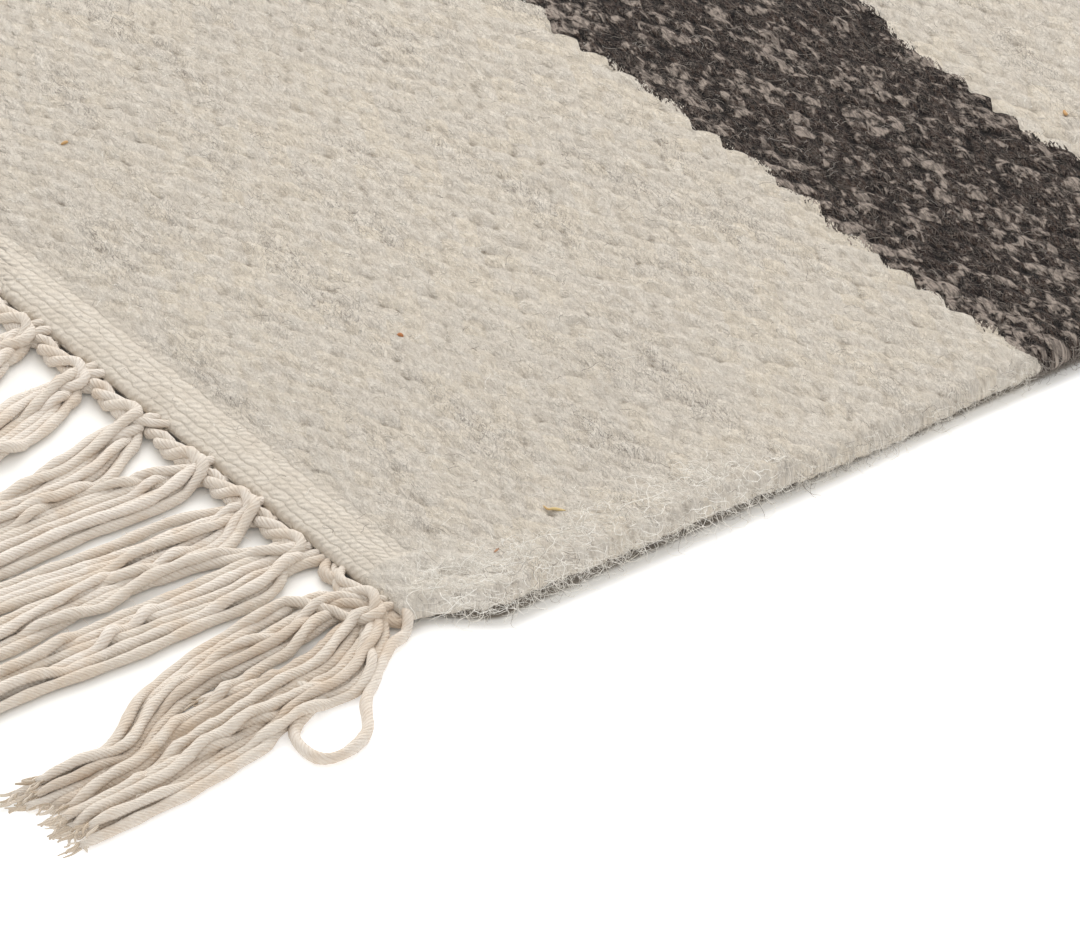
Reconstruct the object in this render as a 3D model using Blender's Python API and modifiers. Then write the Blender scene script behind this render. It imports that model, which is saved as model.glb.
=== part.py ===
"""A small handwoven wool rug: one weft-faced cloth with cotton end bands, and a knotted fringe at each end.

Metres, +Z up. The rug lies flat on Z = 0 with its length along Y. The origin is on the floor, under the
middle of the rug.
"""

import math

import bmesh
import bpy

# Driving dimensions of the cloth
CLOTH_WIDTH = 0.600
CLOTH_LENGTH = 0.900
WOOL_THICKNESS = 0.0045
BAND_THICKNESS = 0.0034
BAND_WIDTH = 0.009
BAND_STEP = 0.002

# How the cloth strays from a plain slab, in its corners, selvedges, ends and upper face
CORNER_DRAW_IN = 0.007
DRAW_IN_LENGTH = 0.016
SELVEDGE_WAVE = 0.0010
SELVEDGE_WAVE_LENGTH = 0.128
END_BOW = 0.0008
UPPER_FACE_WAVE = 0.07
UPPER_FACE_WAVE_LENGTH = 0.260
UPPER_FACE_SKEW = 0.7
RIM_ROUNDING = 0.0017
RIM_SEGMENTS = 2
RIM_ANGLE = math.radians(50)
ROW_STEP = 0.021
CORNER_ROW_STEP = 0.0028
COLUMNS = 4

# One row for each selvedge: the side of the rug it is on, and where along Y its outermost bulge is
SELVEDGES = (
    {"side": 1, "bulge_at": -0.372},
    {"side": -1, "bulge_at": -0.300},
)

# Fringe: the warps in groups, each group knotted into the header cord and left hanging as a tassel
PIECE_GAP = 0.0003
TASSELS = 40
TASSEL_LOCKS = 3
CORNER_LOCKS = 6
FRINGE_LENGTH = 0.069
LOCK_WIDTH = 0.0024
LOCK_HEIGHT = 0.0020
ROOT_HEIGHT = 0.0005
CORNER_SHIFT = 0.0008
CORNER_LEAN = 0.012
LEAN_CURVE = 1.1

# How tassels and locks differ from one another. Each turn is the angle, in radians, from one to the next.
LENGTH_SPREAD = 0.045
LENGTH_TURN_PER_TASSEL = 1.7
LENGTH_TURN_PER_LOCK = 0.6
LEAN_SPREAD = 0.0006
LEAN_TURN_PER_TASSEL = 2.4
SWAY = 0.0010
SWAY_TURN_PER_TASSEL = 0.55
SWAY_BENDS = 1.1

# One row for each point along a lock: its share of the length, its height over the floor, its thickness, and
# the distance between neighbouring locks there, in a tassel and in a fuller corner tassel
LOCK_STATIONS = (
    {"share": 0.00, "lift": ROOT_HEIGHT, "thickness": 0.70, "spacing": 0.0020, "corner_spacing": 0.0022},
    {"share": 0.10, "lift": 0.0, "thickness": 0.90, "spacing": 0.0027, "corner_spacing": 0.0032},
    {"share": 0.35, "lift": 0.0, "thickness": 1.00, "spacing": 0.0036, "corner_spacing": 0.0043},
    {"share": 0.70, "lift": 0.0, "thickness": 1.05, "spacing": 0.0040, "corner_spacing": 0.0040},
    {"share": 1.00, "lift": 0.0, "thickness": 0.85, "spacing": 0.0038, "corner_spacing": 0.0031},
)

# Header cord: the knotted warps, twisted along the cloth's end. Its section has a flat base and a round top.
HEADER_WIDTH = 0.0034
HEADER_HEIGHT = 0.0032
HEADER_SHOULDER = 0.78
HEADER_CREST = 0.45
HEADER_LUMP = 0.13
HEADER_SWAY = 0.00035
HEADER_LIFT = 0.0002
HEADER_POINTS_PER_TASSEL = 2

# One row for each fringe: its name, the side of the rug it is on, and how its tassels lean along X: the widest
# lean at a tassel's tip, the wavelength of the lean across the rug, and where the lean is widest
FRINGES = (
    {"name": "fringe_front", "side": -1, "lean": 0.005, "lean_wave": 0.50, "lean_peak": 0.22, "phase": 0.4},
    {"name": "fringe_back", "side": 1, "lean": 0.006, "lean_wave": 0.46, "lean_peak": -0.12, "phase": 2.6},
)

MERGE_DISTANCE = 0.00001

HALF_WIDTH = CLOTH_WIDTH / 2
HALF_LENGTH = CLOTH_LENGTH / 2
END_WIDTH = CLOTH_WIDTH - 2 * CORNER_DRAW_IN
TASSEL_PITCH = END_WIDTH / TASSELS
HEADER_HALF = HEADER_WIDTH / 2 * (1 + HEADER_LUMP)
HEADER_MIDDLE = HALF_LENGTH + PIECE_GAP + HEADER_HALF + HEADER_SWAY


def clear_scene():
    for obj in list(bpy.data.objects):
        bpy.data.objects.remove(obj)


def new_collection(name):
    collection = bpy.data.collections.new(name)
    bpy.context.scene.collection.children.link(collection)
    return collection


def make_material(name, color, roughness):
    material = bpy.data.materials.new(name)
    material.use_nodes = True
    shader = material.node_tree.nodes["Principled BSDF"]
    shader.inputs["Base Color"].default_value = (*color, 1.0)
    shader.inputs["Roughness"].default_value = roughness
    shader.inputs["Metallic"].default_value = 0.0
    return material


def move_to(obj, collection):
    for owner in list(obj.users_collection):
        owner.objects.unlink(obj)
    collection.objects.link(obj)


def make_guide(obj):
    obj.hide_render = True
    obj.display_type = "WIRE"


def smooth_step(t):
    t = min(1.0, max(0.0, t))
    return t * t * (3 - 2 * t)


def half_width_at(y, selvedge):
    """Distance from the rug's middle line to its selvedge, drawn in at the corners and gently wavy between."""
    from_end = HALF_LENGTH - abs(y)
    drawn_in = CORNER_DRAW_IN * (1 - smooth_step(from_end / DRAW_IN_LENGTH))
    past_corner = smooth_step((from_end - DRAW_IN_LENGTH) / ROW_STEP)
    dip = 0.5 - 0.5 * math.cos(2 * math.pi * (y - selvedge["bulge_at"]) / SELVEDGE_WAVE_LENGTH)
    return HALF_WIDTH - drawn_in - SELVEDGE_WAVE * dip * past_corner


def thickness_share(x, y):
    """The cloth's thickness at a point, as a share of its full thickness."""
    if abs(y) > HALF_LENGTH - BAND_WIDTH - BAND_STEP / 2:
        return BAND_THICKNESS / WOOL_THICKNESS
    wave = math.sin(2 * math.pi * (x + UPPER_FACE_SKEW * y) / UPPER_FACE_WAVE_LENGTH)
    return 1 - UPPER_FACE_WAVE * (0.5 + 0.5 * wave)


def row_places():
    """Y of each row of the cloth's mesh: close rows by the drawn-in corners and the band, then even ones."""
    half = [HALF_LENGTH]
    for _ in range(2):
        half.append(half[-1] - CORNER_ROW_STEP)
    half.append(HALF_LENGTH - BAND_WIDTH)
    half.append(half[-1] - BAND_STEP)
    half.append(half[-1] - CORNER_ROW_STEP)
    even_start = HALF_LENGTH - DRAW_IN_LENGTH
    even_rows = round(even_start / ROW_STEP)
    for k in range(even_rows):
        half.append(even_start * (1 - k / even_rows))
    return [-y for y in half] + [0.0] + half[::-1]


def make_cloth(collection, material):
    """The whole woven cloth as one slab: thicker wool field, thinner cotton band at each end, rounded rim."""
    rows = row_places()
    bpy.ops.mesh.primitive_grid_add(x_subdivisions=COLUMNS, y_subdivisions=len(rows) - 1, size=2)
    cloth = bpy.context.active_object
    cloth.name = "rug_cloth"
    cloth.data.name = "rug_cloth"
    thickness = cloth.vertex_groups.new(name="thickness")
    for vertex in cloth.data.vertices:
        across = vertex.co.x
        row = round((vertex.co.y + 1) / 2 * (len(rows) - 1))
        y = rows[row]
        selvedge = SELVEDGES[0] if across > 0 else SELVEDGES[1]
        vertex.co.x = across * half_width_at(y, selvedge)
        at_end = row in (0, len(rows) - 1)
        bow = END_BOW * (1 - across * across) if at_end else 0.0
        vertex.co.y = y - math.copysign(bow, y)
        thickness.add([vertex.index], thickness_share(vertex.co.x, y), "REPLACE")

    solidify = cloth.modifiers.new("cloth thickness", "SOLIDIFY")
    solidify.thickness = WOOL_THICKNESS
    solidify.offset = 1
    solidify.vertex_group = thickness.name
    bevel = cloth.modifiers.new("rounded rim", "BEVEL")
    bevel.width = RIM_ROUNDING
    bevel.segments = RIM_SEGMENTS
    bevel.limit_method = "ANGLE"
    bevel.angle_limit = RIM_ANGLE
    cloth.data.materials.append(material)
    move_to(cloth, collection)


def at_corner(index):
    return index in (0, TASSELS - 1)


def tassel_locks(index):
    return CORNER_LOCKS if at_corner(index) else TASSEL_LOCKS


def tassel_lean(fringe, index, root_x):
    """How far a tassel's tip lies along X from its root. The corner tassels lean outwards."""
    if at_corner(index):
        return math.copysign(CORNER_LEAN, root_x)
    turn = 2 * math.pi * (root_x - fringe["lean_peak"]) / fringe["lean_wave"]
    spread = LEAN_SPREAD * math.sin(LEAN_TURN_PER_TASSEL * index + fringe["phase"])
    return fringe["lean"] * math.cos(turn) + spread


def lock_points(fringe, index, lock):
    """Points along the foot of one lock, from inside the header cord to its tip on the floor."""
    root_x = (index - (TASSELS - 1) / 2) * TASSEL_PITCH
    spacing_column = "spacing"
    tassel_sway = SWAY
    if at_corner(index):
        root_x += math.copysign(CORNER_SHIFT, root_x)
        spacing_column = "corner_spacing"
        tassel_sway = 0.0
    lean = tassel_lean(fringe, index, root_x)
    place = lock - (tassel_locks(index) - 1) / 2
    length_turn = LENGTH_TURN_PER_TASSEL * index + LENGTH_TURN_PER_LOCK * lock + fringe["phase"]
    length = FRINGE_LENGTH * (1 + LENGTH_SPREAD * math.sin(length_turn))
    sway_turn = SWAY_TURN_PER_TASSEL * index + fringe["phase"]
    points = []
    for station in LOCK_STATIONS:
        s = station["share"]
        sway = tassel_sway * s * math.sin(2 * math.pi * SWAY_BENDS * s + sway_turn)
        x = root_x + place * station[spacing_column] + lean * s ** LEAN_CURVE + sway
        y = fringe["side"] * (HEADER_MIDDLE + length * s)
        points.append((x, y, station["lift"]))
    return points


def new_curve_object(name, collection):
    curve = bpy.data.curves.new(name, "CURVE")
    curve.dimensions = "3D"
    obj = bpy.data.objects.new(name, curve)
    collection.objects.link(obj)
    return obj


def add_spline(curve, points, radii, cyclic=False):
    spline = curve.splines.new("POLY")
    spline.points.add(len(points) - 1)
    for target, point, radius in zip(spline.points, points, radii):
        target.co = (*point, 1.0)
        target.radius = radius
    spline.use_cyclic_u = cyclic


def make_profile(name, corners, guides):
    """A closed section with its base on the line it is drawn along."""
    profile = new_curve_object(name, guides)
    profile.data.dimensions = "2D"
    add_spline(profile.data, [(x, y, 0.0) for x, y in corners], [1.0] * len(corners), cyclic=True)
    make_guide(profile)
    return profile


def make_lock_profile(guides):
    half = LOCK_WIDTH / 2
    return make_profile("lock_profile", ((-half, 0), (half, 0), (0, LOCK_HEIGHT)), guides)


def make_header_profile(guides):
    half = HEADER_WIDTH / 2
    shoulder = HEADER_HEIGHT * HEADER_SHOULDER
    crest = half * HEADER_CREST
    right = ((half, 0), (half, shoulder), (crest, HEADER_HEIGHT))
    left = tuple((-x, y) for x, y in reversed(right))
    return make_profile("header_profile", right + left, guides)


def new_profiled_curve(name, profile, collection):
    obj = new_curve_object(name, collection)
    obj.data.twist_mode = "Z_UP"
    obj.data.bevel_mode = "OBJECT"
    obj.data.bevel_object = profile
    obj.data.use_fill_caps = True
    return obj


def curve_to_mesh_object(source, name, collection):
    """A mesh object with the curve's evaluated shape, its caps welded on. The curve is removed."""
    bpy.context.view_layer.update()
    graph = bpy.context.evaluated_depsgraph_get()
    mesh = bpy.data.meshes.new_from_object(source.evaluated_get(graph))
    work = bmesh.new()
    work.from_mesh(mesh)
    bmesh.ops.remove_doubles(work, verts=work.verts, dist=MERGE_DISTANCE)
    bmesh.ops.recalc_face_normals(work, faces=work.faces)
    work.to_mesh(mesh)
    work.free()
    obj = bpy.data.objects.new(name, mesh)
    obj.matrix_world = source.matrix_world
    collection.objects.link(obj)
    bpy.data.objects.remove(source)
    return obj


def make_locks(fringe, profile, guides):
    """All the locks of one fringe in one mesh, each a closed body that stands apart from the others."""
    lines = new_profiled_curve(fringe["name"] + "_lock_lines", profile, guides)
    radii = [station["thickness"] for station in LOCK_STATIONS]
    for index in range(TASSELS):
        for lock in range(tassel_locks(index)):
            add_spline(lines.data, lock_points(fringe, index, lock), radii)
    locks = curve_to_mesh_object(lines, fringe["name"] + "_locks", guides)
    make_guide(locks)
    return locks


def make_header_cord(fringe, profile, collection):
    """The cord of knotted warps along the cloth's end, with one lump and one sway for each tassel."""
    line = new_profiled_curve(fringe["name"] + "_line", profile, collection)
    last = TASSELS * HEADER_POINTS_PER_TASSEL
    points = []
    radii = []
    for k in range(last + 1):
        turn = 2 * math.pi * k / HEADER_POINTS_PER_TASSEL
        x = END_WIDTH * (k / last - 0.5)
        y = fringe["side"] * (HEADER_MIDDLE + HEADER_SWAY * math.sin(0.5 * turn))
        points.append((x, y, HEADER_LIFT))
        radii.append(1 - HEADER_LUMP * math.cos(turn))
    add_spline(line.data, points, radii)
    return curve_to_mesh_object(line, fringe["name"], collection)


def make_fringe(fringe, collection, guides, material, lock_profile, header_profile):
    """One piece: the header cord with every lock of that end fused to it at its root."""
    header = make_header_cord(fringe, header_profile, collection)
    header.data.materials.append(material)
    union = header.modifiers.new("locks fused at their roots", "BOOLEAN")
    union.operation = "UNION"
    union.solver = "EXACT"
    union.object = make_locks(fringe, lock_profile, guides)


def main():
    clear_scene()
    rug = new_collection("wool_rug")
    guides = new_collection("guides")
    wool = make_material("cream_wool", (0.62, 0.57, 0.49), 0.95)
    cotton = make_material("natural_cotton", (0.70, 0.60, 0.48), 0.9)
    make_cloth(rug, wool)
    lock_profile = make_lock_profile(guides)
    header_profile = make_header_profile(guides)
    for fringe in FRINGES:
        make_fringe(fringe, rug, guides, cotton, lock_profile, header_profile)


main()
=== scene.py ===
"""The looks of a small handwoven wool rug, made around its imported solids.

Metres, +Z up, the rug lying on Z = 0 with its length along Y. The cloth is one closed mesh whose grains are
raised where a close view sees them. The warps of each end are single yarns that leave the cloth, run along
the end as a twisted cord and hang as tassels. Loose wool fibres and bits of straw lie on the cloth.
"""

import math
from types import SimpleNamespace

import bpy
import numpy as np
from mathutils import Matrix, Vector


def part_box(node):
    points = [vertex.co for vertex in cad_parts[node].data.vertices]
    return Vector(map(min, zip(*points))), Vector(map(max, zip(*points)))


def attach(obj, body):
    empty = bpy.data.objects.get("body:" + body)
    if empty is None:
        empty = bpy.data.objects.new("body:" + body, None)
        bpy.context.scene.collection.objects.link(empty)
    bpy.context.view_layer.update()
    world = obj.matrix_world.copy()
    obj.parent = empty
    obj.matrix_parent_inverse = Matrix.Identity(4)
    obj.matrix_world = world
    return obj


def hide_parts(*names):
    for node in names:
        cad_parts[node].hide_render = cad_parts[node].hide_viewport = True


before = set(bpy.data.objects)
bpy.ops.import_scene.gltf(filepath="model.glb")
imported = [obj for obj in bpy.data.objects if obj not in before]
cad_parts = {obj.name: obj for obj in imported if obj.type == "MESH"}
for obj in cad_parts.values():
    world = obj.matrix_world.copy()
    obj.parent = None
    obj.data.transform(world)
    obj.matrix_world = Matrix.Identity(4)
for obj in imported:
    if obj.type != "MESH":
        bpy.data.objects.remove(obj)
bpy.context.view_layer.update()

MM = 0.001
FLOOR_Z = -0.0003

# The rug's sizes, as its solids have them
HALF_WIDTH, HALF_LENGTH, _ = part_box("rug_cloth")[1]
TASSELS = 40
CORNER_DRAW_IN = 0.007
TASSEL_PITCH = 2 * (HALF_WIDTH - CORNER_DRAW_IN) / TASSELS
BAND_WIDTH = 0.009

# The weave: warp columns across one face and round one selvedge, and weft grains along one column
FACE_COLUMNS = 168
RIM_COLUMNS = 2
COLUMNS = 2 * (FACE_COLUMNS + RIM_COLUMNS)
ROWS = 256
ROW_PITCH = 2 * HALF_LENGTH / ROWS

# Stripes along the length, counted from the front end
CREAM_LENGTH = 0.1140
DARK_LENGTH = 0.0432
STRIPE_REPEAT = CREAM_LENGTH + DARK_LENGTH
STRIPE_STRAY = 0.0020
STRIPE_TEETH = 0.0024
STRIPE_SOFTNESS = 0.48

# Cloth section
WOOL_THICKNESS = 0.0041
BAND_THICKNESS = 0.0036
BAND_SOFT_EDGE = 0.0030
END_ROUNDING = 0.0011
END_FLAT_SHARE = 0.12
END_THINNING = 0.0010
END_THINNING_LENGTH = 0.0045
END_BOW = 0.0008
GRAIN_RELIEF = 0.00076
BAND_RELIEF = 0.00008
UNDULATION = 0.00022


def smooth_step(t):
    t = np.clip(t, 0.0, 1.0)
    return t * t * (3 - 2 * t)


def gentle_noise(x, y, seed, wavelength, waves=6):
    """Smooth, repeatable unevenness between about -1 and 1, from a few crossed waves."""
    draw = np.random.default_rng(seed)
    total = 0.0
    for _ in range(waves):
        heading = draw.uniform(0, 2 * math.pi)
        length = wavelength * draw.uniform(0.65, 1.5)
        phase = draw.uniform(0, 2 * math.pi)
        along = x * math.cos(heading) + y * math.sin(heading)
        total = total + np.sin(2 * math.pi * along / length + phase)
    return total / waves * 1.5


def lattice_random(column, row, salt):
    """A repeatable random number between 0 and 1 for each grain of the weave."""
    raw = np.sin(column * 12.9898 + row * 78.233 + salt * 37.719) * 43758.5453
    return raw - np.floor(raw)


# Camera, at the photograph's viewing angle

CAMERA_LENS = 316.667
CAMERA_SENSOR = 36.0
CAMERA_TARGET = Vector((0.272197, -0.409553, 0.0))
CAMERA_AZIMUTH = math.radians(52.9723)
CAMERA_ELEVATION = math.radians(35.1776)
CAMERA_DISTANCE = 1.438554


def make_camera():
    back = Vector((
        math.sin(CAMERA_AZIMUTH) * math.cos(CAMERA_ELEVATION),
        -math.cos(CAMERA_AZIMUTH) * math.cos(CAMERA_ELEVATION),
        math.sin(CAMERA_ELEVATION),
    ))
    data = bpy.data.cameras.new("camera")
    data.lens = CAMERA_LENS
    data.sensor_width = CAMERA_SENSOR
    data.sensor_fit = "HORIZONTAL"
    data.clip_start = 0.01
    data.clip_end = 50
    camera = bpy.data.objects.new("camera", data)
    camera.location = CAMERA_TARGET + back * CAMERA_DISTANCE
    camera.rotation_euler = back.to_track_quat("Z", "Y").to_euler()
    bpy.context.scene.collection.objects.link(camera)
    bpy.context.scene.camera = camera


# Cloth shape

# How far the selvedge strays from a straight line near a corner: distance from the end, stray. Millimetres.
SELVEDGE_LINE = (
    (0.0, -6.9), (3.7, -6.1), (7.4, -3.7), (11.2, -1.4), (16.0, -0.3), (21.8, -0.6), (35.0, 0.0),
    (60.0, 0.1), (75.0, 0.7), (88.0, 0.1), (105.0, -0.6), (123.0, -0.1), (150.0, -0.4),
)
SELVEDGE_GIVE = 0.038
LIFT_HEIGHT = 0.0015
LIFT_WIDTH = 0.016


def selvedge_stray(y, side):
    """How far the selvedge lies outside the straight line at half the rug's width."""
    from_end = HALF_LENGTH - np.abs(y)
    places, strays = np.transpose(SELVEDGE_LINE) * MM
    near = np.interp(from_end, places, strays)
    wave = -0.0004 + 0.0004 * gentle_noise(y + 3 * side, y * 0, seed=11, wavelength=0.11)
    return near + (wave - near) * smooth_step((from_end - 0.11) / 0.05)


def edge_lift(x, y):
    """How far the selvedges lift off the floor, mostly near the corners, as loose handwoven edges do."""
    from_side = HALF_WIDTH - np.abs(x)
    from_end = HALF_LENGTH - np.abs(y)
    side_share = smooth_step(1 - from_side / LIFT_WIDTH)
    along = smooth_step((from_end + 0.005) / 0.015) * (1 - smooth_step((from_end - 0.055) / 0.035))
    loose = 0.5 + 0.5 * gentle_noise(x, y, seed=23, wavelength=0.16)
    wave = 0.45 * smooth_step((from_end - 0.085) / 0.03) * loose
    return LIFT_HEIGHT * side_share * (along + wave)


def band_share(x, y):
    """1 on the cotton end bands and 0 on the wool. Wool wraps the outermost warps, past the band's ends."""
    from_end = HALF_LENGTH - np.abs(y)
    from_side = HALF_WIDTH - np.abs(x)
    inside = smooth_step((BAND_WIDTH - from_end) / BAND_SOFT_EDGE + 0.5)
    off_side = smooth_step((from_side - 0.0125 - 0.35 * from_end) / 0.0015)
    return inside * off_side


def section_point(column, thickness):
    """Place and outward direction on the cloth's section, for a column counted round both faces."""
    half = HALF_WIDTH - WOOL_THICKNESS / 2
    rim = thickness / 2
    x, z, out_x, out_z = np.zeros((4, len(column)))

    top = column <= FACE_COLUMNS
    x[top] = -half + 2 * half * column[top] / FACE_COLUMNS
    z[top] = thickness[top]
    out_z[top] = 1.0

    bottom_start = FACE_COLUMNS + RIM_COLUMNS
    bottom = (column >= bottom_start) & (column <= bottom_start + FACE_COLUMNS)
    x[bottom] = half - 2 * half * (column[bottom] - bottom_start) / FACE_COLUMNS
    out_z[bottom] = -1.0

    right = (column > FACE_COLUMNS) & (column < bottom_start)
    left = column > bottom_start + FACE_COLUMNS
    for at, side, first in ((right, 1, FACE_COLUMNS), (left, -1, bottom_start + FACE_COLUMNS)):
        angle = side * math.pi / 2 - (column[at] - first) / RIM_COLUMNS * math.pi
        x[at] = side * half + WOOL_THICKNESS / 2 * np.cos(angle)
        z[at] = rim[at] * (1 + np.sin(angle))
        out_x[at] = np.cos(angle)
        out_z[at] = np.sin(angle)
    return x, z, out_x, out_z


GRAIN_HALF_COLUMNS = 0.98
GRAIN_HALF_ROWS = 0.54


def grain_height(column, row):
    """Height of the weave at a place on it, 1 on the crown of a grain and near 0 between grains."""
    best = np.full_like(column, -9.0)
    for parity in (0, 1):
        grain_column = 2 * np.round((column - parity) / 2) + parity
        nearest = np.round(row - 0.5 * parity) + 0.5 * parity
        for step in (-1, 0, 1):
            grain_row = nearest + step
            shift_column = 0.34 * (lattice_random(grain_column, grain_row, 1) - 0.5)
            shift_row = 0.20 * (lattice_random(grain_column, grain_row, 2) - 0.5)
            tilt = 0.30 * (lattice_random(grain_column, grain_row, 3) - 0.5)
            size = 0.74 + 0.52 * lattice_random(grain_column, grain_row, 4)
            across = column - grain_column - shift_column
            along = row - grain_row - shift_row - tilt * across
            height = size * (1 - (across / GRAIN_HALF_COLUMNS) ** 2 - (along / GRAIN_HALF_ROWS) ** 2)
            best = np.maximum(best, height)
    return np.clip(best, -0.25, 1.3)


# The cloth's mesh is made of cells, each two columns by two grains. Those near the corner in the photograph
# have more faces, so that their grains are raised in the mesh.
CELL_COLUMNS = 2
CELL_ROWS = 2
CELLS_ROUND = COLUMNS // CELL_COLUMNS
CELLS_ALONG = ROWS // CELL_ROWS
FACE_CELLS = FACE_COLUMNS // CELL_COLUMNS
FINE_LEVEL = 12
RIM_LEVEL = 4
PLAIN_LEVEL = 1
NEAR_REGION = (
    (0.1186, -0.4033),
    (0.1552, -0.4283),
    (0.1883, -0.4600),
    (0.3100, -0.4600),
    (0.3100, -0.3240),
    (0.2239, -0.2637),
)
NEAR_MARGIN = -0.0016


def inside_region(x, y, margin):
    """How far a place is inside the near region, less the margin outside it: over 0 is inside."""
    depth = np.full_like(x, 9.0)
    count = len(NEAR_REGION)
    for k in range(count):
        ax, ay = NEAR_REGION[k]
        bx, by = NEAR_REGION[(k + 1) % count]
        length = math.hypot(bx - ax, by - ay)
        side = ((bx - ax) * (y - ay) - (by - ay) * (x - ax)) / length
        depth = np.minimum(depth, side + margin)
    return depth


def cell_levels():
    levels = np.full((CELLS_ROUND, CELLS_ALONG), PLAIN_LEVEL)
    levels[:, 0] = RIM_LEVEL
    levels[:, -1] = RIM_LEVEL
    levels[FACE_CELLS, :] = RIM_LEVEL
    levels[-1, :] = RIM_LEVEL
    across = (np.arange(FACE_CELLS) + 0.5) / FACE_CELLS
    along = (np.arange(CELLS_ALONG) + 0.5) / CELLS_ALONG
    x = (2 * across - 1) * HALF_WIDTH
    y = (2 * along - 1) * HALF_LENGTH
    grid_x, grid_y = np.meshgrid(x, y, indexing="ij")
    near = inside_region(grid_x, grid_y, NEAR_MARGIN) > 0
    levels[:FACE_CELLS][near] = FINE_LEVEL
    near_rim = y < NEAR_REGION[-2][1]
    levels[FACE_CELLS, near_rim] = FINE_LEVEL
    return levels


def zip_chains(outer, inner):
    """Triangles between two chains of (place, id), the outer one on the right of the way they run."""
    triangles = []
    a = 0
    b = 0
    while a < len(outer) - 1 or b < len(inner) - 1:
        inner_done = b == len(inner) - 1
        if inner_done or (a < len(outer) - 1 and outer[a + 1][0] <= inner[b + 1][0]):
            triangles.append((outer[a][1], outer[a + 1][1], inner[b][1]))
            a += 1
        else:
            triangles.append((inner[b + 1][1], inner[b][1], outer[a][1]))
            b += 1
    return triangles


def vertex_key(around, along):
    return (around % (CELLS_ROUND * FINE_LEVEL)) * (CELLS_ALONG * FINE_LEVEL + 1) + along


def cell_chain(i, j, side, places, depth):
    """The points along one side of a cell, at a depth into it: each one's place on the side and its key."""
    far = FINE_LEVEL - depth
    chain = []
    for t in places:
        u, v = ((t, depth), (far, t), (FINE_LEVEL - t, far), (depth, FINE_LEVEL - t))[side]
        chain.append((t, vertex_key(i * FINE_LEVEL + u, j * FINE_LEVEL + v)))
    return chain


def mixed_cell_faces(i, j, level, sides):
    """Triangles of a cell some of whose sides have more points than the cell itself."""
    inner_places = [FINE_LEVEL // 2]
    if level > PLAIN_LEVEL:
        inner_places = range(FINE_LEVEL // level, FINE_LEVEL, FINE_LEVEL // level)
    triangles = []
    for side in range(4):
        outer = cell_chain(i, j, side, range(0, FINE_LEVEL + 1, FINE_LEVEL // sides[side]), 0)
        inner = cell_chain(i, j, side, inner_places, inner_places[0])
        triangles += zip_chains(outer, inner)
    return triangles


def lattice_quads(i, j, level, first, last):
    """Quads of a cell's own lattice, from one lattice line to another."""
    step = FINE_LEVEL // level
    u, v = np.meshgrid(np.arange(first, last), np.arange(first, last), indexing="ij")
    u = i * FINE_LEVEL + u.ravel() * step
    v = j * FINE_LEVEL + v.ravel() * step
    corners = ((0, 0), (step, 0), (step, step), (0, step))
    return np.stack([vertex_key(u + du, v + dv) for du, dv in corners], axis=1)


def cloth_faces():
    levels = cell_levels()
    round_next = np.roll(levels, -1, axis=0)
    round_last = np.roll(levels, 1, axis=0)
    quads = []
    triangles = []
    for i in range(CELLS_ROUND):
        for j in range(CELLS_ALONG):
            level = int(levels[i, j])
            below = levels[i, max(j - 1, 0)]
            above = levels[i, min(j + 1, CELLS_ALONG - 1)]
            sides = [max(level, int(side)) for side in (below, round_next[i, j], above, round_last[i, j])]
            if max(sides) == level:
                quads.append(lattice_quads(i, j, level, 0, level))
            else:
                triangles += mixed_cell_faces(i, j, level, sides)
                quads.append(lattice_quads(i, j, level, 1, level - 1))
    for row, flip in ((0, False), (CELLS_ALONG, True)):
        triangles += end_cap_faces(levels, row, flip)
    return np.concatenate(quads), np.array(triangles)


def end_cap_faces(levels, row, flip):
    """Closes one end, between its upper and its lower edge, from the middle of one rim to the other's."""
    v = row * FINE_LEVEL
    cell_row = min(row, CELLS_ALONG - 1)
    ring = []
    for i in range(CELLS_ROUND):
        step = FINE_LEVEL // int(levels[i, cell_row])
        ring += range(i * FINE_LEVEL, (i + 1) * FINE_LEVEL, step)
    right = FACE_CELLS * FINE_LEVEL + FINE_LEVEL // 2
    left = CELLS_ROUND * FINE_LEVEL - FINE_LEVEL // 2
    whole = CELLS_ROUND * FINE_LEVEL
    half = whole / 2
    upper = [((right - u) / half, vertex_key(u, v)) for u in ring if u <= right]
    upper += [((right - u + whole) / half, vertex_key(u, v)) for u in ring if u >= left]
    lower = [((u - right) / half, vertex_key(u, v)) for u in ring if right <= u <= left]
    faces = zip_chains(sorted(upper), sorted(lower))
    faces = [f for f in faces if len(set(f)) == 3]
    if flip:
        faces = [(a, c, b) for a, b, c in faces]
    return faces


def new_mesh_object(name, points, quads, triangles):
    """A smooth mesh object from arrays of points, quads and triangles."""
    mesh = bpy.data.meshes.new(name)
    mesh.from_pydata(points.tolist(), [], quads.tolist() + triangles.tolist())
    mesh.polygons.foreach_set("use_smooth", [True] * len(mesh.polygons))
    obj = bpy.data.objects.new(name, mesh)
    bpy.context.scene.collection.objects.link(obj)
    return obj


def point_attribute(obj, name, values):
    layer = obj.data.attributes.new(name, "FLOAT", "POINT")
    layer.data.foreach_set("value", np.asarray(values, dtype=np.float32))


def vector_attribute(obj, name, values, domain="POINT"):
    layer = obj.data.attributes.new(name, "FLOAT_VECTOR", domain)
    layer.data.foreach_set("vector", np.asarray(values, dtype=np.float32).ravel())


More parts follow.
